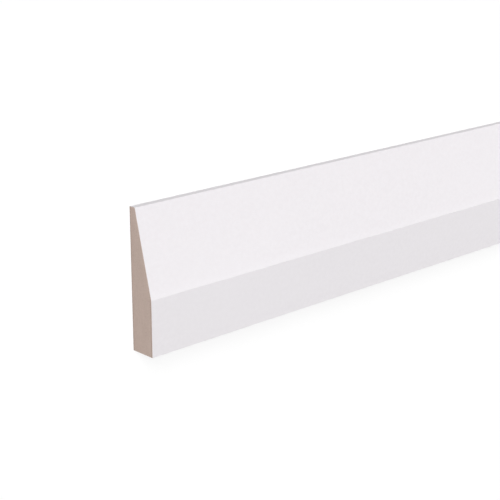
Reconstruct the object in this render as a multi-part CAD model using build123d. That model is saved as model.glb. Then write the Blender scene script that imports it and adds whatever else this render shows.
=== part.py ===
from build123d import *
import os

# One stock length of chamfered skirting board, machined from a single strip of fibreboard.
# It lies on its back with the face up: X runs along the length, Y from the floor edge
# to the top edge, Z from the back to the face. The origin is the middle of the back.

# Driving dimensions, in millimetres
length = 2400.0  # one stock length, square sawn at both ends
height = 90.0  # floor edge to top edge
thickness = 18.0  # back to the flat lower face
lower_face_height = 36.0  # floor edge to the line where the chamfer starts
top_edge_thickness = 4.75  # what the chamfer leaves at the top edge
face_arris_radius = 0.15  # sanded arrises where the face meets the floor edge and the top edge


def board_section():
    floor_edge, top_edge = -height / 2, height / 2
    chamfer_start = floor_edge + lower_face_height
    # Each corner of the section, going round from the back, with its arris radius
    corners = [
        ((floor_edge, 0), 0),
        ((floor_edge, thickness), face_arris_radius),
        ((chamfer_start, thickness), 0),
        ((top_edge, top_edge_thickness), face_arris_radius),
        ((top_edge, 0), 0),
    ]
    points, radii = zip(*corners)
    return make_face(FilletPolyline(*points, radius=radii, close=True))


def skirting_board():
    return extrude(Plane.YZ * board_section(), amount=length / 2, both=True)


os.makedirs("parts", exist_ok=True)
export_step(skirting_board(), "parts/skirting_board.step")
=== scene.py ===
import math
import bmesh
import bpy
from mathutils import Matrix, Vector


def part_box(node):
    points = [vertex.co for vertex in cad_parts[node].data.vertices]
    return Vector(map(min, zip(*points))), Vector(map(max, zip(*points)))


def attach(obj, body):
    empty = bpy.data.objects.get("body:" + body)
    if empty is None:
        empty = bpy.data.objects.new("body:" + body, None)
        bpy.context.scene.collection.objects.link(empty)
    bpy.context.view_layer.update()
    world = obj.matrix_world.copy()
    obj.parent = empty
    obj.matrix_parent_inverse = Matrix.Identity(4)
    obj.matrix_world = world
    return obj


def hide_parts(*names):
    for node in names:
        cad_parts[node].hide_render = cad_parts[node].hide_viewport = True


mm = 0.001  # the scene is in metres, sizes below are in millimetres

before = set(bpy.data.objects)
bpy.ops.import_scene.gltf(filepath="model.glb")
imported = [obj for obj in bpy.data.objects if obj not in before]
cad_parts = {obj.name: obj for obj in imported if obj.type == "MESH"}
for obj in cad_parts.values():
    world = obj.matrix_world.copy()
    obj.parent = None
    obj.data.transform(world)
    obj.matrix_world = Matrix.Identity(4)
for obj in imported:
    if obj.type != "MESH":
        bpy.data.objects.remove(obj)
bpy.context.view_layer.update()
boardLow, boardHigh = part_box("skirting_board")
boardLength, boardHeight, boardThickness = boardHigh - boardLow
print(f"frame loaded, {boardLength / mm:.0f} x {boardHeight / mm:.0f} x {boardThickness / mm:.0f} mm")

# sockets of a colour mix, by number because their names repeat
mixShare, mixFrom, mixTo, mixOut = 0, 6, 7, 2


def hexToLinear(hexColour):
    # the sRGB curve
    channels = [int(hexColour[i:i + 2], 16) / 255 for i in (0, 2, 4)]
    linear = [c / 12.92 if c <= 0.04045 else ((c + 0.055) / 1.055) ** 2.4 for c in channels]
    return (*linear, 1.0)


def addNode(tree, kind, inputs, **settings):
    # sockets go by name, or by number where a node repeats their names
    node = tree.nodes.new(kind)
    for setting, value in settings.items():
        setattr(node, setting, value)
    for socket, value in inputs.items():
        if isinstance(value, bpy.types.NodeSocket):
            tree.links.new(value, node.inputs[socket])
        else:
            node.inputs[socket].default_value = value
    return node


def newMaterial(name):
    material = bpy.data.materials.new(name)
    material.use_nodes = True
    material.node_tree.nodes.clear()
    return material, material.node_tree


def perMetre(sizeMm):
    # scale of a pattern from the size of its cells, where three sizes are along, up and through the board
    return 1 / (sizeMm * mm)


# Primer on the face and the long edges

primer = {
    "name": "white acrylic primer on MDF",
    "film": "F4F1F4",
    "thinFilm": "EAE6E9",
    "roughness": 0.75,
    "roughnessSpread": 0.1,  # between the trough and the crest of a sanding line
    "ior": 1.45,
    "specularLevel": 0.1,  # a matt film with hardly any sheen, at a grazing view too
    "cloudMm": (210.0, 70.0, 70.0),  # slow change of film thickness
    "peelMm": 2.6,  # orange peel left by the spray
    "peelHeightMm": 0.01,
    "denibMm": (160.0, 0.6, 0.6),  # sanding lines along the length, drawn wider than real to show
    "denibHeightMm": 0.006,
    "toothMm": 0.45,  # fine tooth of the dry film
    "toothHeightMm": 0.02,
    "nibMm": 14.0,  # spacing of raised fibres caught under the film
    "nibWidthMm": 1.0,
    "nibHeightMm": 0.03,
    "coreMm": (1.8, 0.9, 0.9),  # fibres of the machined core, telegraphing through the film
    "coreHeightMm": 0.05,
    "coreThinning": 0.35,  # how far they thin the film
    "coreRoughness": 0.06,  # what the machined core adds to the roughness
    "pinholeMm": 3.5,  # spacing of the pinholes that the core soaks into the film
    "pinholeWidthMm": 0.3,
    "pinholeTone": "CFC7C6",
    "chipMm": 0.35,  # deepest chip that the saw leaves in the film
    "chipLengthMm": 3.0,
    "chipNoise": (0.5, 0.75),  # noise at which the film starts to chip and at which it chips deepest
}


def makePrimedMdf():
    # Sprayed and denibbed primer: an even matt white, faint orange peel and sanding lines along the
    # length, a few nibs, and a drier tooth where the film lies on the machined core of the chamfer.
    material, tree = newMaterial(primer["name"])
    place = addNode(tree, "ShaderNodeTexCoord", {}).outputs["Object"]
    axes = addNode(tree, "ShaderNodeSeparateXYZ", {"Vector": place})

    stretched = {}
    for pattern in ("cloud", "denib", "core"):
        stretched[pattern] = addNode(tree, "ShaderNodeMapping", {
            "Vector": place, "Scale": [perMetre(size) for size in primer[pattern + "Mm"]],
        }).outputs["Vector"]
    cloud = addNode(tree, "ShaderNodeTexNoise", {
        "Vector": stretched["cloud"], "Scale": 1.0, "Detail": 2.0,
    }).outputs["Fac"]
    peel = addNode(tree, "ShaderNodeTexNoise", {
        "Vector": place, "Scale": perMetre(primer["peelMm"]), "Detail": 1.5, "Roughness": 0.4,
    }).outputs["Fac"]
    denib = addNode(tree, "ShaderNodeTexNoise", {
        "Vector": stretched["denib"], "Scale": 1.0, "Detail": 3.0, "Roughness": 0.6,
    }).outputs["Fac"]
    tooth = addNode(tree, "ShaderNodeTexNoise", {
        "Vector": place, "Scale": perMetre(primer["toothMm"]), "Detail": 2.0, "Roughness": 0.6,
    }).outputs["Fac"]
    core = addNode(tree, "ShaderNodeTexNoise", {
        "Vector": stretched["core"], "Scale": 1.0, "Detail": 3.0, "Roughness": 0.65,
    }).outputs["Fac"]

    # nibs and pinholes: one dot in each cell of its spacing
    dots = {}
    for dot in ("nib", "pinhole"):
        spacingMm, widthMm = primer[dot + "Mm"], primer[dot + "WidthMm"]
        cells = addNode(tree, "ShaderNodeTexVoronoi", {"Vector": place, "Scale": perMetre(spacingMm)})
        dots[dot] = addNode(tree, "ShaderNodeMapRange", {
            "Value": cells.outputs["Distance"],
            "From Min": widthMm / spacingMm / 2, "From Max": 0.0,
        }, interpolation_type="SMOOTHSTEP").outputs["Result"]

    # 0 on the lower face, 1 where the chamfer and the edges cut through the panel's dense skin
    machined = addNode(tree, "ShaderNodeMapRange", {
        "Value": axes.outputs["Z"],
        "From Min": boardHigh.z, "From Max": boardHigh.z - sawn["skinMm"] * mm,
    }, interpolation_type="SMOOTHSTEP").outputs["Result"]
    coreTooth = addNode(tree, "ShaderNodeMath", {0: core, 1: machined}, operation="MULTIPLY").outputs[0]
    soaked = addNode(tree, "ShaderNodeMath", {0: dots["pinhole"], 1: machined},
                     operation="MULTIPLY").outputs[0]

    # chips in the film along the saw cuts
    fromMiddle = addNode(tree, "ShaderNodeMath", {0: axes.outputs["X"]}, operation="ABSOLUTE").outputs[0]
    fromEnd = addNode(tree, "ShaderNodeMath", {0: boardHigh.x, 1: fromMiddle},
                      operation="SUBTRACT").outputs[0]
    ragged = addNode(tree, "ShaderNodeTexNoise", {
        "Vector": place, "Scale": perMetre(primer["chipLengthMm"]), "Detail": 3.0, "Roughness": 0.7,
    }).outputs["Fac"]
    chipStarts, chipDeepest = primer["chipNoise"]
    chipDepth = addNode(tree, "ShaderNodeMapRange", {
        "Value": ragged, "From Min": chipStarts, "From Max": chipDeepest,
        "To Max": primer["chipMm"] * mm,
    }).outputs["Result"]
    chip = addNode(tree, "ShaderNodeMath", {0: fromEnd, 1: chipDepth}, operation="LESS_THAN").outputs[0]

    thin = addNode(tree, "ShaderNodeMath", {0: cloud, 1: peel}, operation="MULTIPLY").outputs[0]
    thinner = addNode(tree, "ShaderNodeMath", {0: coreTooth, 1: primer["coreThinning"], 2: thin},
                      operation="MULTIPLY_ADD").outputs[0]
    colour = hexToLinear(primer["film"])
    tones = ((thinner, primer["thinFilm"]), (soaked, primer["pinholeTone"]), (chip, sawn["core"]))
    for share, tone in tones:
        colour = addNode(tree, "ShaderNodeMix", {
            mixShare: share, mixFrom: colour, mixTo: hexToLinear(tone),
        }, data_type="RGBA").outputs[mixOut]

    smoothest = primer["roughness"] - primer["roughnessSpread"] / 2
    dryness = addNode(tree, "ShaderNodeMath", {0: machined, 1: primer["coreRoughness"], 2: smoothest},
                      operation="MULTIPLY_ADD").outputs[0]
    roughness = addNode(tree, "ShaderNodeMath", {0: denib, 1: primer["roughnessSpread"], 2: dryness},
                        operation="MULTIPLY_ADD").outputs[0]

    relief = None
    for height, heightMm in ((peel, primer["peelHeightMm"]), (denib, primer["denibHeightMm"]),
                             (tooth, primer["toothHeightMm"]), (coreTooth, primer["coreHeightMm"]),
                             (dots["nib"], primer["nibHeightMm"])):
        inputs = {"Strength": 1.0, "Distance": heightMm * mm, "Height": height}
        if relief:
            inputs["Normal"] = relief
        relief = addNode(tree, "ShaderNodeBump", inputs).outputs["Normal"]

    surface = addNode(tree, "ShaderNodeBsdfPrincipled", {
        "Base Color": colour, "Roughness": roughness, "Normal": relief,
        "IOR": primer["ior"], "Specular IOR Level": primer["specularLevel"],
    })
    addNode(tree, "ShaderNodeOutputMaterial", {"Surface": surface.outputs["BSDF"]})
    return material


# Sawn ends

sawn = {
    "name": "sawn MDF end",
    "core": "BAA79D",
    "skin": "A59187",
    "paleFibre": "CEBEB3",
    "darkFibre": "927E74",
    "roughness": 0.88,
    "roughnessSpread": 0.12,  # between the cut and the torn fibres
    "ior": 1.45,
    "skinMm": 1.8,  # dense pressed layer at each face of the panel
    "layerMm": (11.0, 11.0, 0.9),  # felted layers seen edge on, drawn thicker than real to show
    "fleckMm": (1.2, 1.2, 0.45),  # fibre bundles lying along the panel, drawn larger than real to show
    "fleckReach": (0.55, 0.15),  # where a bundle fades out and where it is full, in parts of its cell
    "fuzzMm": 0.6,  # torn fibre ends
    "fuzzHeightMm": 0.06,
    "toothMm": (50.0, 1.5, 50.0),  # tooth marks across the panel
    "toothTiltDeg": 7.0,
    "toothHeightMm": 0.03,
    # for each tint, where in its noise it starts and is full, and how strong it is there
    "layerTint": (0.3, 0.7, 0.35),
    "darkTint": (0.40, 0.05, 0.45),
    "paleTint": (0.6, 0.95, 0.5),
    "fuzzTint": (0.45, 0.75, 0.5),
}


def makeSawnMdf():
    # Fibreboard cut across the panel: dull tan felt in fine layers along the face, denser and darker at
    # the pressed faces, flecked with pale and dark fibre bundles, with faint slanting tooth marks.
    material, tree = newMaterial(sawn["name"])
    place = addNode(tree, "ShaderNodeTexCoord", {}).outputs["Object"]
    axes = addNode(tree, "ShaderNodeSeparateXYZ", {"Vector": place})

    flattened = addNode(tree, "ShaderNodeMapping", {
        "Vector": place, "Scale": [perMetre(size) for size in sawn["layerMm"]],
    })
    layers = addNode(tree, "ShaderNodeTexNoise", {
        "Vector": flattened.outputs["Vector"], "Scale": 1.0, "Detail": 3.0, "Roughness": 0.6,
    }).outputs["Fac"]
    slanted = addNode(tree, "ShaderNodeMapping", {
        "Vector": place, "Scale": [perMetre(size) for size in sawn["toothMm"]],
        "Rotation": (math.radians(sawn["toothTiltDeg"]), 0.0, 0.0),
    })
    toothMarks = addNode(tree, "ShaderNodeTexNoise", {
        "Vector": slanted.outputs["Vector"], "Scale": 1.0, "Detail": 2.0, "Roughness": 0.5,
    }).outputs["Fac"]
    fuzz = addNode(tree, "ShaderNodeTexNoise", {
        "Vector": place, "Scale": perMetre(sawn["fuzzMm"]), "Detail": 4.0, "Roughness": 0.7,
    })
    fuzzHeight = fuzz.outputs["Fac"]

    # fibre bundles: bent ellipses, some cells pale, some dark, most of them plain
    bend = [sawn["fuzzMm"] * mm] * 3
    bent = addNode(tree, "ShaderNodeVectorMath", {0: fuzz.outputs["Color"], 1: bend, 2: place},
                   operation="MULTIPLY_ADD").outputs["Vector"]
    squashed = addNode(tree, "ShaderNodeMapping", {
        "Vector": bent, "Scale": [perMetre(size) for size in sawn["fleckMm"]],
    })
    cells = addNode(tree, "ShaderNodeTexVoronoi", {"Vector": squashed.outputs["Vector"], "Scale": 1.0})
    pick = addNode(tree, "ShaderNodeSeparateColor", {"Color": cells.outputs["Color"]}).outputs["Red"]
    fleckFades, fleckFull = sawn["fleckReach"]
    bundle = addNode(tree, "ShaderNodeMapRange", {
        "Value": cells.outputs["Distance"], "From Min": fleckFades, "From Max": fleckFull,
    }, interpolation_type="SMOOTHSTEP").outputs["Result"]

    shares = {}
    for tint, noise in (("layer", layers), ("dark", pick), ("pale", pick), ("fuzz", fuzzHeight)):
        starts, full, strongest = sawn[tint + "Tint"]
        shares[tint] = addNode(tree, "ShaderNodeMapRange", {
            "Value": noise, "From Min": starts, "From Max": full, "To Max": strongest,
        }).outputs["Result"]
    for tint in ("dark", "pale"):
        shares[tint] = addNode(tree, "ShaderNodeMath", {0: bundle, 1: shares[tint]},
                               operation="MULTIPLY").outputs[0]

    # 1 in the middle of the panel, 0 at its two pressed faces
    middle = (boardLow.z + boardHigh.z) / 2
    offMiddle = addNode(tree, "ShaderNodeMath", {0: axes.outputs["Z"], 1: middle},
                        operation="SUBTRACT").outputs[0]
    depth = addNode(tree, "ShaderNodeMath", {0: offMiddle}, operation="ABSOLUTE").outputs[0]
    density = addNode(tree, "ShaderNodeMapRange", {
        "Value": depth,
        "From Min": boardThickness / 2, "From Max": boardThickness / 2 - sawn["skinMm"] * mm,
    }, interpolation_type="SMOOTHSTEP").outputs["Result"]

    colour = hexToLinear(sawn["skin"])
    for share, tone in ((density, "core"), (shares["layer"], "skin"), (shares["dark"], "darkFibre"),
                        (shares["pale"], "paleFibre"), (shares["fuzz"], "paleFibre")):
        colour = addNode(tree, "ShaderNodeMix", {
            mixShare: share, mixFrom: colour, mixTo: hexToLinear(sawn[tone]),
        }, data_type="RGBA").outputs[mixOut]

    smoothest = sawn["roughness"] - sawn["roughnessSpread"] / 2
    roughness = addNode(tree, "ShaderNodeMath", {0: fuzzHeight, 1: sawn["roughnessSpread"], 2: smoothest},
                        operation="MULTIPLY_ADD").outputs[0]
    torn = addNode(tree, "ShaderNodeBump", {
        "Strength": 1.0, "Distance": sawn["fuzzHeightMm"] * mm, "Height": fuzzHeight,
    }).outputs["Normal"]
    relief = addNode(tree, "ShaderNodeBump", {
        "Strength": 1.0, "Distance": sawn["toothHeightMm"] * mm, "Height": toothMarks, "Normal": torn,
    }).outputs["Normal"]
    surface = addNode(tree, "ShaderNodeBsdfPrincipled", {
        "Base Color": colour, "Roughness": roughness, "IOR": sawn["ior"], "Normal": relief,
    })
    addNode(tree, "ShaderNodeOutputMaterial", {"Surface": surface.outputs["BSDF"]})
    return material


# Bare back

sanded = {
    "name": "sanded MDF back",
    "core": "BCA794",
    "darkFibre": "A18A76",
    "paleFibre": "D0BEAC",
    "roughness": 0.72,
    "roughnessSpread": 0.14,  # between the trough and the crest of a belt line
    "ior": 1.45,
    "fibreMm": 1.6,  # tangles of fibre
    # for each tint, where in the fibre noise it starts and is full, and how strong it is there
    "darkTint": (0.48, 0.28, 0.7),
    "paleTint": (0.52, 0.72, 0.7),
    "cloudMm": (90.0, 45.0, 45.0),  # slow change of tone
    "cloudTint": 0.4,  # how strongly it darkens the felt
    "beltMm": (220.0, 1.4, 1.4),  # belt sander lines along the length
    "beltHeightMm": 0.01,
    "oversprayMm": 3.5,  # primer that wraps round the back arrises
    "oversprayRagMm": (9.0, 3.0, 3.0),  # its ragged edge
    "oversprayNoise": (0.25, 0.75),  # noise at which it stops short and at which it reaches furthest
}


def makeSandedMdf():
    # Belt sanded panel face left bare: smooth tan with flecks of pale and dark fibre, lines along the
    # length, and a ragged rim of primer where the spray wrapped round the arrises.
    material, tree = newMaterial(sanded["name"])
    place = addNode(tree, "ShaderNodeTexCoord", {}).outputs["Object"]
    axes = addNode(tree, "ShaderNodeSeparateXYZ", {"Vector": place})

    fibres = addNode(tree, "ShaderNodeTexNoise", {
        "Vector": place, "Scale": perMetre(sanded["fibreMm"]),
        "Detail": 4.0, "Roughness": 0.7, "Distortion": 0.8,
    }).outputs["Fac"]
    stretched = {}
    for pattern in ("cloud", "belt", "oversprayRag"):
        stretched[pattern] = addNode(tree, "ShaderNodeMapping", {
            "Vector": place, "Scale": [perMetre(size) for size in sanded[pattern + "Mm"]],
        }).outputs["Vector"]
    cloud = addNode(tree, "ShaderNodeTexNoise", {
        "Vector": stretched["cloud"], "Scale": 1.0, "Detail": 2.0,
    }).outputs["Fac"]
    belt = addNode(tree, "ShaderNodeTexNoise", {
        "Vector": stretched["belt"], "Scale": 1.0, "Detail": 3.0, "Roughness": 0.6,
    }).outputs["Fac"]
    rag = addNode(tree, "ShaderNodeTexNoise", {
        "Vector": stretched["oversprayRag"], "Scale": 1.0, "Detail": 4.0, "Roughness": 0.7,
    }).outputs["Fac"]

    shares = {}
    for tint in ("dark", "pale"):
        starts, full, strongest = sanded[tint + "Tint"]
        shares[tint] = addNode(tree, "ShaderNodeMapRange", {
            "Value": fibres, "From Min": starts, "From Max": full, "To Max": strongest,
        }).outputs["Result"]
    clouded = addNode(tree, "ShaderNodeMath", {0: cloud, 1: sanded["cloudTint"], 2: shares["dark"]},
                      operation="MULTIPLY_ADD").outputs[0]

    # how far in from the nearer long arris, against how far the spray reached there
    fromMiddle = addNode(tree, "ShaderNodeMath", {0: axes.outputs["Y"]}, operation="ABSOLUTE").outputs[0]
    fromArris = addNode(tree, "ShaderNodeMath", {0: boardHigh.y, 1: fromMiddle},
                        operation="SUBTRACT").outputs[0]
    stopsShort, reachesFurthest = sanded["oversprayNoise"]
    reach = addNode(tree, "ShaderNodeMapRange", {
        "Value": rag, "From Min": stopsShort, "From Max": reachesFurthest,
        "To Max": sanded["oversprayMm"] * mm,
    }).outputs["Result"]
    overspray = addNode(tree, "ShaderNodeMath", {0: fromArris, 1: reach},
                        operation="LESS_THAN").outputs[0]

    colour = hexToLinear(sanded["core"])
    for share, tone in ((clouded, sanded["darkFibre"]), (shares["pale"], sanded["paleFibre"]),
                        (overspray, primer["thinFilm"])):
        colour = addNode(tree, "ShaderNodeMix", {
            mixShare: share, mixFrom: colour, mixTo: hexToLinear(tone),
        }, data_type="RGBA").outputs[mixOut]

    smoothest = sanded["roughness"] - sanded["roughnessSpread"] / 2
    roughness = addNode(tree, "ShaderNodeMath", {0: belt, 1: sanded["roughnessSpread"], 2: smoothest},
                        operation="MULTIPLY_ADD").outputs[0]
    relief = addNode(tree, "ShaderNodeBump", {
        "Strength": 1.0, "Distance": sanded["beltHeightMm"] * mm, "Height": belt,
    }).outputs["Normal"]
    surface = addNode(tree, "ShaderNodeBsdfPrincipled", {
        "Base Color": colour, "Roughness": roughness, "IOR": sanded["ior"], "Normal": relief,
    })
    addNode(tree, "ShaderNodeOutputMaterial", {"Surface": surface.outputs["BSDF"]})
    return material


primedSlot, sawnSlot, sandedSlot = range(3)
boardMaterials = [makePrimedMdf(), makeSawnMdf(), makeSandedMdf()]
print(f"materials made: {', '.join(m.name for m in boardMaterials)}")


# Board, with its section read from the frame

boardLook = {
    "flatStepMm": 6.0,  # widest face across the flats
    "ringStepMm": 25.0,  # spacing of the rings along the length
    "thicknessSteps": 4,  # faces through the thickness, on the edges and the sawn ends
    "sawnArrisMm": 0.12,  # what handling takes off the arris of a sawn end
    "levelMm": 0.001,  # a point this close to the full thickness is on the lower face
}

bakeMap = {
    "name": "OFBake",
    "segments": 4,  # the length is laid out in this many strips
    "side": 1024.0,  # the layout below is in texels of a map this wide
    "gap": 4.0,
    "primedPerMm": 1.44,  # texels across the primed girth
    "backPerMm": 0.66,
    "endPerMm": 4.6,
}


def readFrontOutline():
    # arris arcs and corners of the primed side, from the floor edge to the top edge
    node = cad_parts["skirting_board"]
    seenEnd = {(v.co.y, v.co.z) for v in node.data.vertices if v.co.x < boardLow.x + mm}
    return sorted((y, z) for y, z in seenEnd if z > boardLow.z + mm)


def addFlatPoints(outline, widest):
    spaced = [outline[0]]
    for (y0, z0), (y1, z1) in zip(outline, outline[1:]):
        steps = math.ceil(math.hypot(y1 - y0, z1 - z0) / widest)
        for i in range(1, steps + 1):
            spaced.append((y0 + (y1 - y0) * i / steps, z0 + (z1 - z0) * i / steps))
    return spaced


def sectionGrid(outline):
    # rows go from the floor edge to the top edge, and each row from the back to the face
    front = addFlatPoints(outline, boardLook["flatStepMm"] * mm)
    last, deep = len(front) - 1, boardLook["thicknessSteps"]
    grid = []
    for i, (frontY, frontZ) in enumerate(front):
        backY, backZ = boardLow.y + boardHeight * i / last, boardLow.z
        row = []
        for j in range(deep + 1):
            row.append((backY + (frontY - backY) * j / deep, backZ + (frontZ - backZ) * j / deep))
        grid.append(row)
    return grid


def sectionBorder(last, deep):
    # round the section from the back: up the floor edge, over the face, down the top edge, along the back
    border = [(0, j) for j in range(deep)]
    border += [(i, deep) for i in range(last)]
    border += [(last, j) for j in range(deep, 0, -1)]
    border += [(i, 0) for i in range(last, 0, -1)]
    return border


def insetRing(ring, distance):
    inset = []
    for i, (y, z) in enumerate(ring):
        (y0, z0), (y1, z1) = ring[i - 1], ring[(i + 1) % len(ring)]
        before = Vector((y - y0, z - z0)).normalized()
        after = Vector((y1 - y, z1 - z)).normalized()
        # the ring runs clockwise seen along the length, so inwards is to the right of each step
        sumInwards = Vector((before.y + after.y, -before.x - after.x))
        step = sumInwards * (distance / (1 + before.dot(after)))
        inset.append((y + step.x, z + step.y))
    return inset


def addFace(bm, corners, slot, texels):
    face = bm.faces.new(corners)
    face.material_index = slot
    face.smooth = True
    bake = bm.loops.layers.uv[bakeMap["name"]]
    for loop, (u, v) in zip(face.loops, texels):
        loop[bake].uv = (u / bakeMap["side"], v / bakeMap["side"])


def addLength(bm, ring, primedSteps):
    # rings joined by faces, with the primed girth and the back side by side in each strip of the map
    arris, segments = boardLook["sawnArrisMm"] * mm, bakeMap["segments"]
    stripRings = round(boardLength / (boardLook["ringStepMm"] * mm) / segments)
    steps = stripRings * segments
    stations = [boardLow.x + arris + (boardLength - 2 * arris) * s / steps for s in range(steps + 1)]
    girth = [0.0]
    for (y0, z0), (y1, z1) in zip(ring, ring[1:] + ring[:1]):
        girth.append(girth[-1] + math.hypot(y1 - y0, z1 - z0))

    gap = bakeMap["gap"]
    alongPerMetre = (bakeMap["side"] - 2 * gap) / (stations[stripRings] - stations[0])
    primedTall = girth[primedSteps] / mm * bakeMap["primedPerMm"]
    backTall = (girth[-1] - girth[primedSteps]) / mm * bakeMap["backPerMm"]
    stripTall = primedTall + backTall + 2 * gap

    rings = [[bm.verts.new((x, y, z)) for y, z in ring] for x in stations]
    for s in range(steps):
        strip, inStrip = divmod(s, stripRings)
        u0, u1 = (gap + (stations[t] - stations[0]) * alongPerMetre for t in (inStrip, inStrip + 1))
        for k in range(len(ring)):
            primed = k < primedSteps
            slot = primedSlot if primed else sandedSlot
            perMm = bakeMap["primedPerMm"] if primed else bakeMap["backPerMm"]
            start, below = (0.0, 0.0) if primed else (girth[primedSteps], primedTall + gap)
            low = strip * stripTall + gap / 2 + below
            v0, v1 = (low + (girth[g] - start) * (perMm / mm) for g in (k, k + 1))
            n = (k + 1) % len(ring)
            corners = (rings[s][k], rings[s][n], rings[s + 1][n], rings[s + 1][k])
            addFace(bm, corners, slot, ((u0, v0), (u0, v1), (u1, v1), (u1, v0)))
    print(f"board map uses {segments} strips of {stripTall:.0f} texels")
    return rings, segments * stripTall


def addSawnEnd(bm, x, collar, grid, border, left, low):
    # a grid through the thickness, joined to the last ring of the length by a broken arris
    last, deep = len(grid) - 1, len(grid[0]) - 1
    ring = [grid[i][j] for i, j in border]
    rim = [bm.verts.new((x, *place)) for place in insetRing(ring, boardLook["sawnArrisMm"] * mm)]
    verts = dict(zip(border, rim))
    for i in range(1, last):
        for j in range(1, deep):
            verts[i, j] = bm.verts.new((x, *grid[i][j]))

    faces = []
    for i in range(last):
        for j in range(deep):
            faces.append((verts[i, j], verts[i + 1, j], verts[i + 1, j + 1], verts[i, j + 1]))
    for k in range(len(rim)):
        n = (k + 1) % len(rim)
        faces.append((collar[k], collar[n], rim[n], rim[k]))
    for corners in faces:
        texels = []
        for corner in corners:
            across = left + (corner.co.y - boardLow.y) / mm * bakeMap["endPerMm"]
            up = low + (corner.co.z - boardLow.z) / mm * bakeMap["endPerMm"]
            texels.append((across, up))
        addFace(bm, corners, sawnSlot, texels)
    return rim


def buildBoard():
    outline = readFrontOutline()
    lowerFaceTop = max(y for y, z in outline if z > boardHigh.z - boardLook["levelMm"] * mm)
    print(f"section read, chamfer starts {(lowerFaceTop - boardLow.y) / mm:.1f} mm up")
    grid = sectionGrid(outline)
    last, deep = len(grid) - 1, len(grid[0]) - 1
    border = sectionBorder(last, deep)
    ring = [grid[i][j] for i, j in border]
    primedSteps = 2 * deep + last  # faces round the section from the back's floor arris to its top arris

    bm = bmesh.new()
    bm.loops.layers.uv.new(bakeMap["name"])
    rings, stripsTop = addLength(bm, ring, primedSteps)
    gap = bakeMap["gap"]
    low = stripsTop + gap
    leftRim = addSawnEnd(bm, boardLow.x, rings[0], grid, border, gap, low)
    rightRim = addSawnEnd(bm, boardHigh.x, rings[-1], grid, border, bakeMap["side"] / 2, low)

    # creases: the two back arrises and the line where the chamfer starts, each over the broken arris too
    chamferLine = min(range(len(ring)), key=lambda k: math.dist(ring[k], (lowerFaceTop, boardHigh.z)))
    for k in (0, primedSteps, chamferLine):
        crease = [leftRim[k]] + [along[k] for along in rings] + [rightRim[k]]
        for start, end in zip(crease, crease[1:]):
            bm.edges.get((start, end)).smooth = False

    bmesh.ops.recalc_face_normals(bm, faces=bm.faces)
    mesh = bpy.data.meshes.new("primedSkirtingBoard")
    bm.to_mesh(mesh)
    bm.free()
    for material in boardMaterials:
        mesh.materials.append(material)
    board = bpy.data.objects.new("primedSkirtingBoard", mesh)
    bpy.context.scene.collection.objects.link(board)
    flatNormals = board.modifiers.new("flats stay flat", "WEIGHTED_NORMAL")
    flatNormals.keep_sharp = True
    return board


board = buildBoard()
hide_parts("skirting_board")
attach(board, "root")
print(f"board built, {len(board.data.polygons)} faces")


# Studio

floorLook = {
    "name": "pale matt floor",
    "seen": "6E6E6E",  # as the camera sees it, with the board's shadow on it
    "lift": 0.87,  # added where the camera sees it, which brings the lit floor up to white
    "bounce": "585858",  # as it lights the board, kept low so that the edges stay darker than the face
    "sizeM": 80.0,
    "gapMm": 0.05,  # keeps it off the board's back
}

lightLook = {
    "dome": 0.04,
    "lamps": {
        "softKey": {"from": (-0.510, 0.555, 0.657), "strength": 3.836, "spreadDeg": 36.0, "glints": True},
        # the fills lie so low that their glints would burn out the face for a camera across from them
        "seenEndFill": {"from": (-0.99, -0.05, 0.10), "strength": 0.685, "spreadDeg": 8.0, "glints": False},
        "floorEdgeFill": {"from": (0.0, -1.0, 0.028), "strength": 1.70, "spreadDeg": 2.5, "glints": False},
        "farEndFill": {"from": (1.0, 0.0, 0.028), "strength": 1.70, "spreadDeg": 2.5, "glints": False},
    },
}


def seenDirectly(tree):
    # 1 for what the camera sees, straight or in a gloss, 0 for light on its way to the board
    path = addNode(tree, "ShaderNodeLightPath", {})
    seen = path.outputs["Is Camera Ray"]
    for ray in ("Is Glossy Ray", "Is Transmission Ray"):
        seen = addNode(tree, "ShaderNodeMath", {0: seen, 1: path.outputs[ray]},
                       operation="MAXIMUM").outputs[0]
    return seen


def makeFloor():
    material, tree = newMaterial(floorLook["name"])
    seen = seenDirectly(tree)
    colour = addNode(tree, "ShaderNodeMix", {
        mixShare: seen, mixFrom: hexToLinear(floorLook["bounce"]), mixTo: hexToLinear(floorLook["seen"]),
    }, data_type="RGBA").outputs[mixOut]
    matt = addNode(tree, "ShaderNodeBsdfDiffuse", {"Color": colour})
    lift = addNode(tree, "ShaderNodeMath", {0: seen, 1: floorLook["lift"]}, operation="MULTIPLY")
    glow = addNode(tree, "ShaderNodeEmission", {"Strength": lift.outputs[0]})
    both = addNode(tree, "ShaderNodeAddShader", {0: matt.outputs[0], 1: glow.outputs[0]})
    addNode(tree, "ShaderNodeOutputMaterial", {"Surface": both.outputs[0]})
    half, level = floorLook["sizeM"] / 2, boardLow.z - floorLook["gapMm"] * mm
    mesh = bpy.data.meshes.new("floor")
    corners = [(-half, -half, level), (half, -half, level), (half, half, level), (-half, half, level)]
    mesh.from_pydata(corners, [], [(0, 1, 2, 3)])
    mesh.materials.append(material)
    floor = bpy.data.objects.new("floor", mesh)
    bpy.context.scene.collection.objects.link(floor)
    return floor


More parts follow.
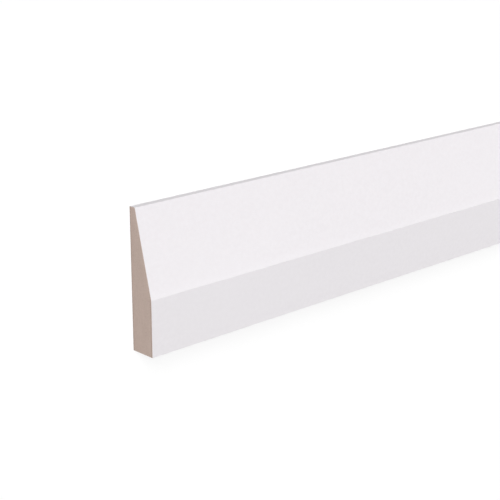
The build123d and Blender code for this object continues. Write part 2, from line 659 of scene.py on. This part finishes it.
def makeDome():
    world = bpy.data.worlds.new("white dome")
    world.use_nodes = True
    tree = world.node_tree
    tree.nodes.clear()
    soft = addNode(tree, "ShaderNodeBackground", {"Color": (1, 1, 1, 1), "Strength": lightLook["dome"]})
    white = addNode(tree, "ShaderNodeBackground", {"Color": (1, 1, 1, 1), "Strength": 1.0})
    mix = addNode(tree, "ShaderNodeMixShader", {
        0: seenDirectly(tree), 1: soft.outputs[0], 2: white.outputs[0],
    })
    addNode(tree, "ShaderNodeOutputWorld", {"Surface": mix.outputs[0]})
    bpy.context.scene.world = world


def makeLamps():
    for name, look in lightLook["lamps"].items():
        lamp = bpy.data.lights.new(name, "SUN")
        lamp.energy = look["strength"]
        lamp.angle = math.radians(look["spreadDeg"])
        holder = bpy.data.objects.new(name, lamp)
        holder.rotation_euler = Vector(look["from"]).to_track_quat("Z", "Y").to_euler()
        holder.visible_glossy = look["glints"]
        bpy.context.scene.collection.objects.link(holder)


floor = makeFloor()
makeDome()
makeLamps()
bpy.context.scene.view_settings.view_transform = "Standard"
print("studio lit")


# Camera, as the photograph stands to the board

cameraLook = {
    "lensMm": 93.41,
    "sensorMm": 36.0,
    "offFaceDeg": 43.380,  # turned from square on to the face, towards the seen end
    "dipDeg": 17.116,  # looking down over the top edge
    "eye": (-5.0077, 3.2031, 6.4369),  # in board heights, from the seen end's back corner at the floor edge
}


def makeCamera():
    off, dip = math.radians(cameraLook["offFaceDeg"]), math.radians(cameraLook["dipDeg"])
    aim = Vector((math.sin(off) * math.cos(dip), -math.sin(dip), -math.cos(off) * math.cos(dip)))
    right = aim.cross(Vector((0, 1, 0))).normalized()
    up = right.cross(aim)
    data = bpy.data.cameras.new("photo camera")
    data.lens = cameraLook["lensMm"]
    data.sensor_width = cameraLook["sensorMm"]
    camera = bpy.data.objects.new("photo camera", data)
    turn = Matrix((right, up, -aim)).transposed().to_4x4()
    camera.matrix_world = Matrix.Translation(boardLow + Vector(cameraLook["eye"]) * boardHeight) @ turn
    bpy.context.scene.collection.objects.link(camera)
    bpy.context.scene.camera = camera


makeCamera()
print("camera set")
